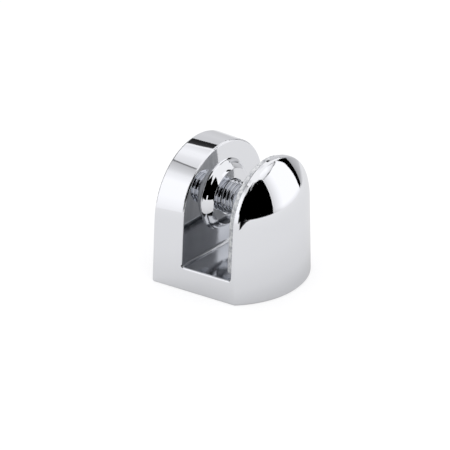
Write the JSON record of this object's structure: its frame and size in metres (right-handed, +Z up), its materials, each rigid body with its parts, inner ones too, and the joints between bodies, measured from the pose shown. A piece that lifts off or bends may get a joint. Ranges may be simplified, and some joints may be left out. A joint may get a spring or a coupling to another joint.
{
  "type": "glass panel clamp",
  "caption": "U-shaped polished metal clamp with a domed nose and a fine-threaded screw that grips the edge of a glass panel.",
  "frame": {"origin": "middle of the flat underside, half way between the back face and the tip of the nose", "axes": "+Z up out of the underside, +X across the clamp along the glass, +Y from the domed nose to the flat back arm"},
  "size_m": [0.0326, 0.0282, 0.0311],
  "materials": {
    "chrome_casting": "polished",
    "chrome_bush": "polished",
    "steel_screw": "nickel plated",
    "white_polyamide": "moulded",
    "clear_pvc": "clear and soft"
  },
  "bodies": {
    "body": {"clamp_body": "chrome_casting", "thread_bush": "chrome_bush", "front_gasket": "clear_pvc"},
    "tip": {"swivel_tip": "white_polyamide"},
    "screw": {"clamp_screw": "steel_screw"}
  },
  "joints": [
    {"name": "tip_slide", "type": "slide", "parent": "body", "child": "tip", "axis": [0, -1, 0], "range_m": [-0.0045, 0.0041]},
    {"name": "screw_turn", "type": "hinge", "parent": "tip", "child": "screw", "pos_m": [0, 0, 0.0184], "axis": [0, -1, 0], "range_deg": [-1622, 1478]}
  ],
  "couplings": [
    {"joint": "screw_turn", "follows": "tip_slide", "rad_per_m": 6283.2}
  ]
}
